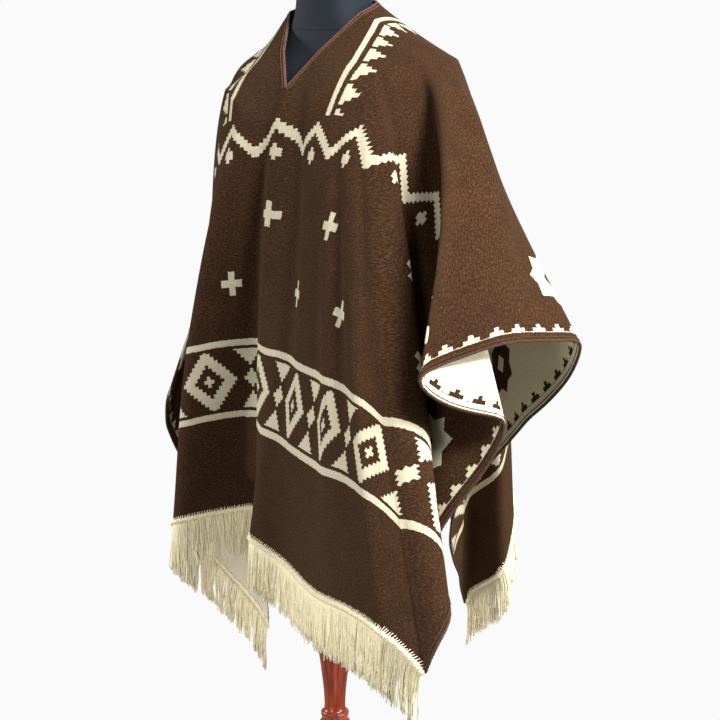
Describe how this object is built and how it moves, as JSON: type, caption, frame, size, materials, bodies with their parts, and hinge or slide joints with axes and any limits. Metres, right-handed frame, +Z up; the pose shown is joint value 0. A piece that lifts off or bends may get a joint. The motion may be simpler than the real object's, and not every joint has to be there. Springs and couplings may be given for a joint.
{
  "type": "wool poncho on a limbless dress form with a turned wooden stand",
  "caption": "Fringed wool poncho with a V neck, draped over a limbless dress form on a turned wooden post and round base.",
  "frame": {"origin": "centre of the stand's round base, on the floor", "axes": "+Z up, -Y towards the wearer's front, +X towards the wearer's left"},
  "size_m": [1.0134, 0.9358, 1.522],
  "materials": {
    "brown_wool": "brushed",
    "cream_yarn": "matte",
    "black_jersey": "matte",
    "red_wood": "gloss"
  },
  "bodies": {
    "root": {"poncho_body": "brown_wool", "front_fringe": "cream_yarn", "back_fringe": "cream_yarn", "form_torso": "black_jersey", "stand_post": "red_wood", "stand_base": "red_wood"}
  },
  "joints": []
}
